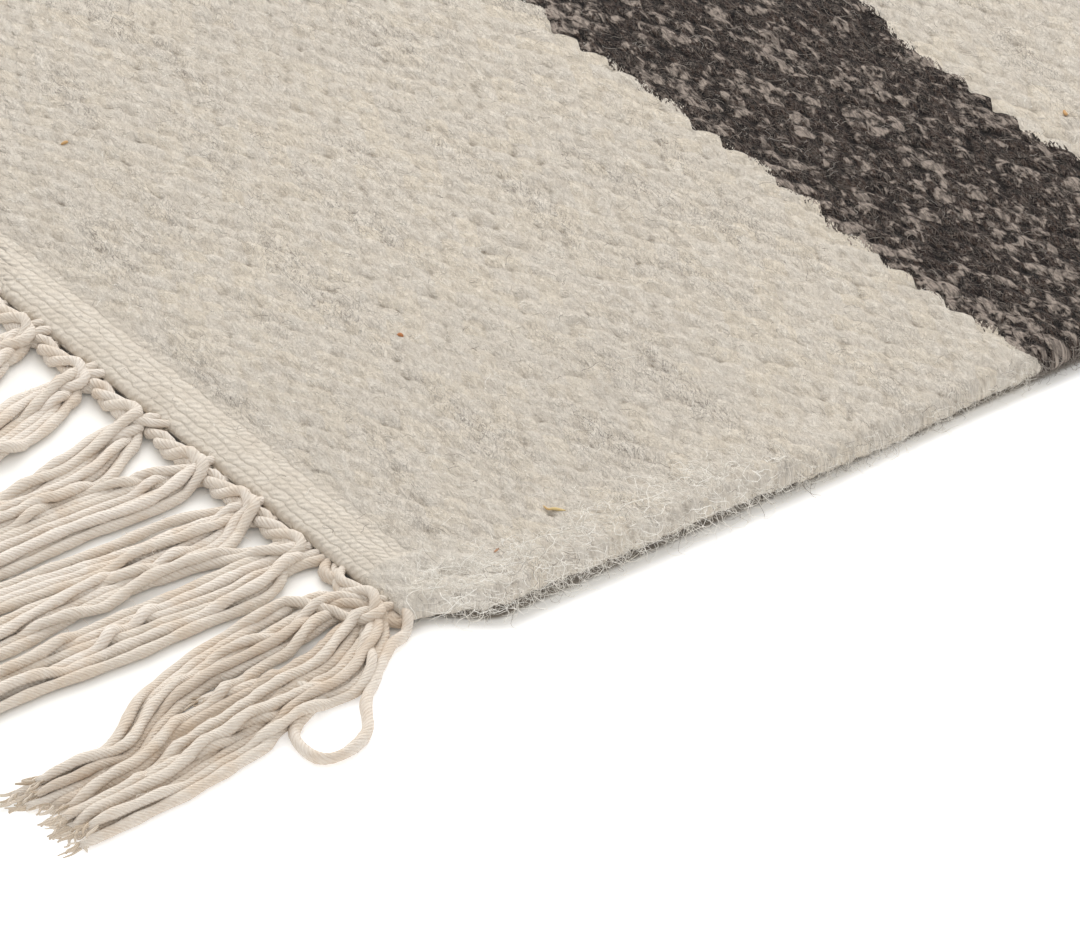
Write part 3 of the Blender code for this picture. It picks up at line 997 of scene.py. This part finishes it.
def tassel_routes(index, side, draw, count):
    """Routes of the yarns of one tassel, from inside the cloth's end to their tips, as an array."""
    root, middles, halves = tassel_form(index, side, draw)
    stations = SPREAD_STATIONS
    corner = from_corner(index) == 0
    straight_count = CORNER_STRAIGHT_YARNS if corner else STRAIGHT_YARNS
    root_width = CORNER_ROOT_WIDTH if corner else ROOT_WIDTH
    root_middle = root + math.copysign(CORNER_ROOT_SHIFT, root) if corner else root
    keep = 0.92 if corner else 0.65
    total = straight_count + CORD_YARNS
    places = np.linspace(-1, 1, total)
    order = draw.permutation(total)
    loose = np.clip(places + draw.normal(0, 0.30, total), -1.05, 1.05)
    later = np.clip(keep * places + draw.normal(0, 1.1 - keep, total), -1.08, 1.08)
    reach = FRINGE_REACH * (1 + draw.uniform(-0.055, 0.045, total))
    mix = smooth_step((stations - 0.012) / 0.035)
    routes = []
    for k in range(total):
        slot = int(order[k])
        lateral = loose[slot] * (1 - mix) + later[slot] * mix
        wave = math.sin(draw.uniform(0, 6.3))
        wave = wave + np.sin(stations / draw.uniform(0.0045, 0.0080) + draw.uniform(0, 6.3))
        x = middles + lateral * halves + WAVE_HEIGHT * wave * smooth_step(stations / 0.012)
        z = YARN_RADIUS * 1.1 + REST_HEIGHT * draw.random()
        y = HALF_LENGTH + HEADER_OUT + stations * reach[slot] / FRINGE_REACH
        hanging = [(x[m], y[m], z) for m in range(len(stations))]
        if corner and side < 0 and root > 0 and k == total - 1:
            points = [(root - 0.0010, HALF_LENGTH - 0.0040, 0.0011)]
            points += [(HALF_WIDTH + a * MM, HALF_LENGTH + b * MM, c * MM) for a, b, c in CORNER_LOOP]
        elif k < CORD_YARNS:
            points = cord_points(k, root) + hanging[2:]
        else:
            share = (k - CORD_YARNS + 0.5) / straight_count - 0.5
            start = root_middle + share * root_width
            points = [
                (start, HALF_LENGTH - 0.0040, 0.0011),
                (start, HALF_LENGTH + 0.0002, 0.0010),
                (0.5 * start + 0.5 * x[0], HALF_LENGTH + 0.0019, 0.0010),
            ]
            points += hanging[1:]
        route = smooth_route(points, count)
        route[:, 1] *= side
        routes.append(route)
    return np.array(routes)


def cord_points(strand, root):
    """A yarn's run in the twisted cord along the cloth's end, up to the knot at its own tassel."""
    turn = strand * 2 * math.pi / CORD_YARNS
    start = root - TASSEL_PITCH * 0.98 + strand * HEADER_SPACING
    points = [
        (start - 0.0018, HALF_LENGTH - 0.0042, 0.0011),
        (start - 0.0002, HALF_LENGTH + 0.0002, 0.0010),
    ]
    run = root - start
    for m in range(1, HEADER_STEPS):
        share = m / HEADER_STEPS
        phase = turn + 2 * math.pi * share * run / HEADER_LAY
        bulge = math.sin(math.pi * share)
        y = HALF_LENGTH + HEADER_OUT + 0.0004 * bulge + HEADER_TURN_RADIUS * math.cos(phase)
        z = HEADER_RISE + 0.0012 * smooth_step((share - 0.55) / 0.35) + HEADER_TURN_RADIUS * math.sin(phase)
        points.append((start + share * run, y, max(z, YARN_RADIUS)))
    place = (strand - 1.0) * HEADER_SPACING
    knot = HALF_LENGTH + HEADER_OUT
    points.append((root + 0.0016 + 0.4 * place, knot + 0.0006, 0.0036 - 0.0003 * strand))
    points.append((root + 0.0012 + place, knot + 0.0036, 0.0026))
    return points


def push_apart(points, others, reach, owners=None):
    """How far each point moves to get clear of the others, each of which is a small ball."""
    squared = (points ** 2).sum(axis=1)[:, None] + (others ** 2).sum(axis=1)[None, :]
    squared -= 2 * points @ others.T
    first, second = np.nonzero(squared < reach ** 2)
    if owners is not None:
        apart = owners[first] != owners[second]
        first = first[apart]
        second = second[apart]
    offset = points[first] - others[second]
    distance = np.linalg.norm(offset, axis=1) + 1e-9
    offset *= ((reach - distance).clip(0) / distance)[:, None]
    touching = np.maximum(np.bincount(first, minlength=len(points)), 1)
    move = [np.bincount(first, offset[:, axis], len(points)) / touching for axis in range(3)]
    return np.stack(move, axis=1)


def settle(yarns, pinned, obstacles, rounds):
    """Lets yarns fall and lie on the floor and on one another, close to their planned routes."""
    plan = yarns.copy()
    count, length, _ = yarns.shape
    owners = np.repeat(np.arange(count), length)
    reach = 2 * YARN_RADIUS * 0.97
    for _ in range(rounds):
        middle = 0.5 * (yarns[:, :-2] + yarns[:, 2:])
        yarns[:, 1:-1] += 0.35 * (middle - yarns[:, 1:-1])
        yarns[..., 2] -= FALL_STEP
        flat = yarns.reshape(-1, 3)
        flat = flat + 0.7 * push_apart(flat, flat, reach, owners)
        if len(obstacles):
            flat = flat + push_apart(flat, obstacles, reach)
        yarns = flat.reshape(count, length, 3)
        yarns[..., 2] = np.maximum(yarns[..., 2], YARN_RADIUS * 0.9)
        yarns[..., :2] += PLAN_PULL * (plan[..., :2] - yarns[..., :2])
        yarns[:, :pinned] = plan[:, :pinned]
    return yarns


def tube_arrays(routes, radii, sides):
    """Points, quads and triangles of closed tubes along routes, and each point's place round and along."""
    count, rings, _ = routes.shape
    tangent = np.gradient(routes, axis=1)
    tangent /= np.linalg.norm(tangent, axis=2, keepdims=True)
    across = np.cross(tangent, (0.0, 0.0, 1.0))
    across /= np.linalg.norm(across, axis=2, keepdims=True)
    up = np.cross(across, tangent)
    angle = 2 * math.pi * np.arange(sides) / sides
    ring = across[:, :, None] * np.cos(angle)[:, None] + up[:, :, None] * np.sin(angle)[:, None]
    points = routes[:, :, None] + ring * radii[:, :, None, None]
    index = np.arange(count * rings * sides).reshape(count, rings, sides)
    following = np.roll(index, -1, axis=2)
    quads = np.stack([index[:, :-1], following[:, :-1], following[:, 1:], index[:, 1:]], axis=-1)
    triangles = []
    for k in range(1, sides - 1):
        triangles.append(np.stack([index[:, 0, 0], index[:, 0, k + 1], index[:, 0, k]], axis=-1))
        triangles.append(np.stack([index[:, -1, 0], index[:, -1, k], index[:, -1, k + 1]], axis=-1))
    steps = np.linalg.norm(np.diff(routes, axis=1, prepend=routes[:, :1]), axis=2)
    along, turn = np.broadcast_arrays(np.cumsum(steps, axis=1)[:, :, None], angle)
    form = np.stack([np.cos(turn), np.sin(turn), along], axis=-1)
    return points.reshape(-1, 3), quads.reshape(-1, 4), np.concatenate(triangles), form.reshape(-1, 3)


def make_yarns(name, routes, in_painted_shade, draw, sides, material):
    """One mesh of many yarns, each of a random tone. Those of the corner tassels lean darker, as painted
    shade for their dense strands.
    """
    count, rings, _ = routes.shape
    share = np.linspace(0, 1, rings)
    swell = 1 + 0.07 * np.sin(60 * share[None, :] + draw.uniform(0, 6.3, count)[:, None])
    tip = 1 - 0.35 * smooth_step((share - 0.955) / 0.045)
    start = 0.50 + 0.50 * smooth_step(share * rings / YARN_START_RINGS)
    radii = YARN_RADIUS * swell * (tip * start)[None, :] * (1 + draw.normal(0, 0.06, count))[:, None]
    radii = radii * (1 + draw.normal(0, 0.035, radii.shape))
    points, quads, triangles, form = tube_arrays(routes, radii, sides)
    points[:, 2] = np.maximum(points[:, 2], 0.0)
    form[:, 2] += np.repeat(draw.uniform(0, PLY_LAY, count), rings * sides)
    yarns = new_mesh_object(name, points, quads, triangles)
    vector_attribute(yarns, "yarn", form)
    # Corner tassels' yarns: random tones that lean below 0, as painted shade among their dense strands
    tone = np.where(in_painted_shade, draw.uniform(-0.8, 0.5, count), draw.random(count))
    point_attribute(yarns, "tone", np.repeat(tone, rings * sides))
    yarns.data.materials.append(material)
    return yarns


def fringe_yarns(side, first, last, rings, rounds, draw):
    """Settled routes of the yarns of some neighbouring tassels, and which of them are a corner tassel's."""
    settled = []
    in_painted_shade = []
    obstacles = np.zeros((0, 3))
    for index in range(last - 1, first - 1, -1):
        routes = tassel_routes(index, side, draw, rings)
        routes = settle(routes, max(3, int(rings * PINNED_SHARE)), obstacles, rounds)
        settled.append(routes)
        in_painted_shade += [from_corner(index) == 0] * len(routes)
        obstacles = routes.reshape(-1, 3)
    return np.concatenate(settled), np.array(in_painted_shade)


def make_fringes(material):
    """The fringe pieces, and the routes of the near yarns for their fluff."""
    inner = TASSELS - NEAR_TASSELS
    parts = (
        ("front_tassels_near", -1, inner, TASSELS, NEAR_MESH, 5),
        ("front_tassels_far", -1, 0, inner, FAR_MESH, 6),
        ("back_tassels", 1, 0, TASSELS, FAR_MESH, 7),
    )
    pieces = []
    all_routes = []
    for name, side, first, last, mesh, seed in parts:
        draw = np.random.default_rng(seed)
        routes, in_painted_shade = fringe_yarns(side, first, last, mesh["rings"], mesh["rounds"], draw)
        pieces.append(make_yarns(name, routes, in_painted_shade, draw, mesh["sides"], material))
        all_routes.append(routes)
    return pieces, all_routes[0]


# Loose fibres on the cloth and along its selvedges

FIBRE_POINTS = 8
FIBRE_SIDES = 3
SURFACE_Z = 0.0043
FIBRE_LOWEST = 0.00008
PALE_RADIUS = 0.000034
DARK_RADIUS = 0.000030
HAIR_RADIUS = 0.000050
FLUFF_PER_YARN = 22
FLUFF_LOWEST = 0.00006
FLUFF_RADIUS = 0.000032
TIP_PLIES = 6
TIP_PLY_RADIUS = 0.00030
NEAR_LOW = (0.115, -0.449)
NEAR_HIGH = (0.299, -0.262)


def fibre_routes(starts, headings, lengths, curls, rises, draw, lowest=FIBRE_LOWEST):
    """Routes of wavy fibres: each leaves its start along its heading and bends as it goes."""
    count = len(starts)
    share = np.linspace(0, 1, FIBRE_POINTS)[None, :]
    bend = draw.normal(0, 1, (count, 1)) * curls[:, None]
    wave = draw.uniform(0.3, 1.0, (count, 1)) * curls[:, None]
    turns = draw.uniform(0.6, 1.6, (count, 1))
    phase = draw.uniform(0, 6.3, (count, 1))
    angle = headings[:, None] + bend * share + wave * np.sin(2 * math.pi * turns * share + phase)
    step = lengths[:, None] / (FIBRE_POINTS - 1)
    x = starts[:, 0:1] + np.cumsum(np.cos(angle) * step, axis=1)
    y = starts[:, 1:2] + np.cumsum(np.sin(angle) * step, axis=1)
    lift = np.sin(math.pi * share * draw.uniform(0.6, 1.0, (count, 1)))
    z = np.maximum(starts[:, 2:3] + rises[:, None] * lift, lowest)
    return np.stack([x, y, z], axis=2)


def surface_fibres(count, draw):
    """Fibres that lie on the upper face, within the near region."""
    starts = np.zeros((0, 3))
    while len(starts) < count:
        x = draw.uniform(NEAR_LOW[0], NEAR_HIGH[0], count)
        y = draw.uniform(NEAR_LOW[1], NEAR_HIGH[1], count)
        keep = inside_region(x, y, 0.0) > 0
        z = SURFACE_Z + draw.uniform(-0.0002, 0.0002, count)
        starts = np.concatenate([starts, np.stack([x, y, z], axis=1)[keep]])
    starts = starts[:count]
    headings = draw.normal(0, 0.9, count) + math.pi * draw.integers(0, 2, count)
    lengths = 0.0010 + 0.0034 * draw.random(count) ** 2.0
    curls = draw.uniform(0.5, 2.6, count)
    rises = draw.uniform(0.0, 0.00035, count)
    return fibre_routes(starts, headings, lengths, curls, rises, draw)


def selvedge_fibres(count, draw, side, low, high, longest):
    """Curly fibres of a selvedge between two places along it. Some of them reach the floor."""
    y = draw.uniform(low, high, count)
    height = draw.uniform(0.0003, 0.0040, count)
    bulge = WOOL_THICKNESS / 2 * np.sqrt(np.clip(1 - (height / (WOOL_THICKNESS / 2) - 1) ** 2, 0, 1))
    x = HALF_WIDTH - WOOL_THICKNESS / 2 + bulge + selvedge_stray(y, side) - 0.0002
    starts = np.stack([side * x, y, height + edge_lift(side * x, y)], axis=1)
    along = np.where(draw.random(count) < 0.5, 0.5, -0.5) * math.pi
    headings = along * draw.uniform(0.35, 1.05, count)
    headings = np.where(side > 0, headings, math.pi - headings)
    lengths = 0.0012 + (longest - 0.0012) * draw.random(count) ** 2.2
    curls = draw.uniform(0.8, 3.4, count)
    rises = draw.uniform(-0.0030, 0.0010, count)
    return fibre_routes(starts, headings, lengths, curls, rises, draw)


def corner_fibres(count, draw):
    """The denser, longer hair of the wool that wraps the near corner."""
    y = -0.4450 + 0.0585 * draw.random(count) ** 1.4
    edge = HALF_WIDTH + selvedge_stray(y, 1.0) - 0.0004
    inward = 0.0095 * draw.random(count) ** 2.6
    x = edge - inward
    on_edge = draw.uniform(0.0008, 0.0040, count)
    z = np.where(inward < 0.0012, on_edge, SURFACE_Z) + edge_lift(x, y)
    starts = np.stack([x, y, z], axis=1)
    headings = draw.uniform(-math.pi, math.pi, count)
    lengths = 0.0026 + 0.0090 * draw.random(count) ** 1.6
    curls = draw.uniform(1.0, 3.6, count)
    hanging = draw.uniform(-0.0026, 0.0008, count)
    standing = draw.uniform(-0.0004, 0.0014, count)
    rises = np.where(inward < 0.0020, hanging, standing)
    return fibre_routes(starts, headings, lengths, curls, rises, draw)


def yarn_fluff(routes, draw):
    """Short fibres that stand off the fringe's yarns."""
    count, rings, _ = routes.shape
    owner = np.repeat(np.arange(count), FLUFF_PER_YARN)
    total = len(owner)
    ring = draw.integers(5, rings, total)
    turn = draw.uniform(0, 2 * math.pi, total)
    starts = routes[owner, ring].copy()
    starts[:, 0] += 0.8 * YARN_RADIUS * np.cos(turn)
    starts[:, 2] += 0.8 * YARN_RADIUS * np.abs(np.sin(turn))
    headings = draw.uniform(-math.pi, math.pi, total)
    lengths = 0.0006 + 0.0026 * draw.random(total) ** 2.0
    curls = draw.uniform(0.6, 2.6, total)
    rises = draw.uniform(-0.0003, 0.0008, total)
    return fibre_routes(starts, headings, lengths, curls, rises, draw, FLUFF_LOWEST)


def make_fibres(name, groups, radius, draw, material):
    """One mesh of many fibres, from several groups of routes."""
    routes = np.concatenate(groups)
    count = len(routes)
    share = np.linspace(0, 1, FIBRE_POINTS)
    taper = 1 - 0.55 * share ** 2
    radii = radius * draw.uniform(0.75, 1.3, count)[:, None] * taper[None, :]
    points, quads, triangles, _ = tube_arrays(routes, radii, FIBRE_SIDES)
    fibres = new_mesh_object(name, points, quads, triangles)
    point_attribute(fibres, "tone", np.repeat(draw.random(count), FIBRE_POINTS * FIBRE_SIDES))
    fibres.data.materials.append(material)
    fibres.visible_shadow = False
    fibres.visible_diffuse = False
    return fibres


def frayed_tips(routes, draw):
    """The plies that open at each yarn's cut end."""
    owner = np.repeat(np.arange(len(routes)), TIP_PLIES)
    total = len(owner)
    ends = routes[owner, -1]
    back = routes[owner, -3] - ends
    away = -back[:, :2]
    headings = np.arctan2(away[:, 1], away[:, 0]) + draw.normal(0, 0.22, total)
    starts = ends + back * draw.uniform(0.1, 0.6, total)[:, None]
    turn = draw.uniform(0, 2 * math.pi, total)
    starts[:, 0] += 0.5 * YARN_RADIUS * np.cos(turn)
    starts[:, 2] += 0.5 * YARN_RADIUS * np.sin(turn)
    lengths = draw.uniform(0.0018, 0.0040, total)
    curls = draw.uniform(0.1, 0.8, total)
    rises = draw.uniform(-0.0004, 0.0004, total)
    return fibre_routes(starts, headings, lengths, curls, rises, draw, TIP_PLY_RADIUS)


# Bits of plant caught in the wool: place, heading, length, radius and tone. Metres and degrees.
PLANT_BITS = (
    {"place": (0.2355, -0.4088), "heading": 20, "length": 0.0012, "radius": 0.00034, "tone": 0.0},
    {"place": (0.1601, -0.4192), "heading": 70, "length": 0.0014, "radius": 0.00030, "tone": 0.5},
    {"place": (0.2488, -0.2872), "heading": -20, "length": 0.0016, "radius": 0.00032, "tone": 0.4},
    {"place": (0.2870, -0.4176), "heading": 40, "length": 0.0028, "radius": 0.00025, "tone": 1.0},
    {"place": (0.2858, -0.4185), "heading": 5, "length": 0.0018, "radius": 0.00018, "tone": 0.7},
    {"place": (0.2904, -0.4314), "heading": 100, "length": 0.0012, "radius": 0.00018, "tone": 0.1},
)


def make_plant_bits():
    routes = []
    radii = []
    for bit in PLANT_BITS:
        heading = math.radians(bit["heading"])
        share = np.linspace(-0.5, 0.5, FIBRE_POINTS)
        x = bit["place"][0] + share * bit["length"] * math.cos(heading)
        y = bit["place"][1] + share * bit["length"] * math.sin(heading)
        z = SURFACE_Z + 0.00008 * np.sin(7 * share + bit["heading"]) + edge_lift(x, y)
        routes.append(np.stack([x, y, z], axis=1))
        radii.append(bit["radius"] * np.sqrt(np.clip(1.02 - (2 * share) ** 2, 0.02, 1.0)))
    points, quads, triangles, _ = tube_arrays(np.array(routes), np.array(radii), 6)
    bits = new_mesh_object("plant_bits", points, quads, triangles)
    point_attribute(bits, "tone", np.repeat([bit["tone"] for bit in PLANT_BITS], FIBRE_POINTS * 6))
    plant = make_fibre_material("dry_plant", (176, 118, 76), (208, 184, 130), 0.7)
    bits.data.materials.append(plant)
    return bits


def make_fuzz():
    draw = np.random.default_rng(71)
    end = HALF_LENGTH - 0.006
    pale = make_fibre_material("pale_wool_fibre", (200, 192, 180), (246, 242, 233), 0.6, striped=True)
    bright = make_fibre_material("bright_wool_fibre", (206, 199, 187), (248, 244, 236), 0.6)
    dark = make_fibre_material("dark_wool_fibre", (104, 95, 88), (150, 140, 130), 0.6)
    pale_groups = [
        surface_fibres(1600, draw),
        selvedge_fibres(1300, draw, 1.0, -end, -0.315, 0.0062),
        selvedge_fibres(500, draw, 1.0, -0.315, end, 0.0045),
        selvedge_fibres(650, draw, -1.0, -end, end, 0.0045),
    ]
    dark_groups = [
        surface_fibres(900, draw),
        selvedge_fibres(420, draw, 1.0, -end, -0.315, 0.0060),
        corner_fibres(50, draw),
    ]
    corner_groups = [corner_fibres(900, draw)]
    return [
        make_fibres("pale_wool_fuzz", pale_groups, PALE_RADIUS, draw, pale),
        make_fibres("dark_wool_fuzz", dark_groups, DARK_RADIUS, draw, dark),
        make_fibres("corner_wool_hair", corner_groups, HAIR_RADIUS, draw, bright),
        make_plant_bits(),
    ]


# Floor, light and view

FLOOR_HALF = 3.0
FLOOR_GLOW = 0.30
FLOOR_GLOW_NEAR = 0.03
FLOOR_WHITE = (0.92, 0.92, 0.92, 1.0)
FLOOR_PAINTED_BOUNCE = (0.92, 0.905, 0.87, 1.0)
FLOOR_PAINTED_SHADOW = (0.22, 0.185, 0.14, 1.0)
KEY_PLACE = Vector((-0.85, 0.35, 1.05))
KEY_TARGET = Vector((0.25, -0.42, 0.0))
KEY_SIZE = 1.6
KEY_POWER = 23.5
KEY_COLOR = (1.0, 0.985, 0.96)
WORLD_STRENGTH = 0.95


def make_floor():
    """A white floor with a faint glow, a painted shadow within the cloth's footprint and, beside it, a
    painted warm bounce and a stronger glow.
    """
    corners = [(x * FLOOR_HALF, y * FLOOR_HALF, FLOOR_Z) for x, y in ((-1, -1), (1, -1), (1, 1), (-1, 1))]
    no_triangles = np.zeros((0, 3), dtype=int)
    floor = new_mesh_object("floor", np.array(corners), np.array([(0, 1, 2, 3)]), no_triangles)
    graph = Graph("white_floor")
    x, y, _ = graph.split(graph.place())
    corner = graph.ramp(abs(y), HALF_LENGTH - 0.014, HALF_LENGTH - 0.002)
    outside = abs(x) - (HALF_WIDTH - corner * 0.0075)
    # Painted shadow: the floor is dark within the cloth's footprint
    under = graph.ramp(outside, -0.0004, -0.0018) * (abs(y) < HALF_LENGTH)
    # Painted warm bounce of light from the cloth on the floor beside its sides
    white = graph.blend(graph.ramp(outside, 0.0080, 0.0), FLOOR_WHITE, FLOOR_PAINTED_BOUNCE)
    material = graph.finish({
        "Base Color": graph.blend(under, white, FLOOR_PAINTED_SHADOW),
        "Emission Color": (1.0, 1.0, 1.0, 1.0),
        # The glow beside the cloth's sides washes out its cast shadow there
        "Emission Strength": graph.ramp(outside, 0.0002, 0.0030) * FLOOR_GLOW + FLOOR_GLOW_NEAR,
        "Roughness": 0.7,
        "Specular IOR Level": 0.1,
    })
    floor.data.materials.append(material)


def make_lights():
    """One large soft lamp, above and behind the rug as the camera sees it, and an even white world."""
    data = bpy.data.lights.new("key_light", "AREA")
    data.shape = "DISK"
    data.size = KEY_SIZE
    data.energy = KEY_POWER
    data.color = KEY_COLOR
    key = bpy.data.objects.new("key_light", data)
    key.location = KEY_PLACE
    key.rotation_euler = (KEY_PLACE - KEY_TARGET).to_track_quat("Z", "Y").to_euler()
    bpy.context.scene.collection.objects.link(key)

    world = bpy.data.worlds.new("studio")
    world.use_nodes = True
    background = world.node_tree.nodes["Background"]
    background.inputs["Color"].default_value = (1.0, 1.0, 1.0, 1.0)
    background.inputs["Strength"].default_value = WORLD_STRENGTH
    bpy.context.scene.world = world
    bpy.context.scene.view_settings.view_transform = "Standard"
    bpy.context.scene.view_settings.look = "None"


def main():
    make_camera()
    wool = make_wool_material()
    cotton = make_cotton_material()
    cloth = make_cloth()
    cloth.data.materials.append(wool)
    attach(cloth, "root")
    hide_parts("rug_cloth")

    fringes, near_routes = make_fringes(cotton)
    for piece in fringes:
        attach(piece, "root")
    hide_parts("fringe_front")
    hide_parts("fringe_front")
    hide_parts("fringe_back")
    draw = np.random.default_rng(83)
    loose_cotton = make_fibre_material("cotton_fibre", (206, 192, 174), (240, 232, 220), 0.7)
    cut_cotton = make_fibre_material("cut_cotton", (190, 172, 150), (220, 208, 192), 0.8)
    fluff = make_fibres("fringe_fluff", [yarn_fluff(near_routes, draw)], FLUFF_RADIUS, draw, loose_cotton)
    tips = make_fibres("yarn_tips", [frayed_tips(near_routes, draw)], TIP_PLY_RADIUS, draw, cut_cotton)
    tips.visible_shadow = True
    for piece in (fluff, tips):
        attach(piece, "root")
    fuzz = make_fuzz()
    for piece in fuzz:
        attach(piece, "root")
    make_floor()
    make_lights()


main()
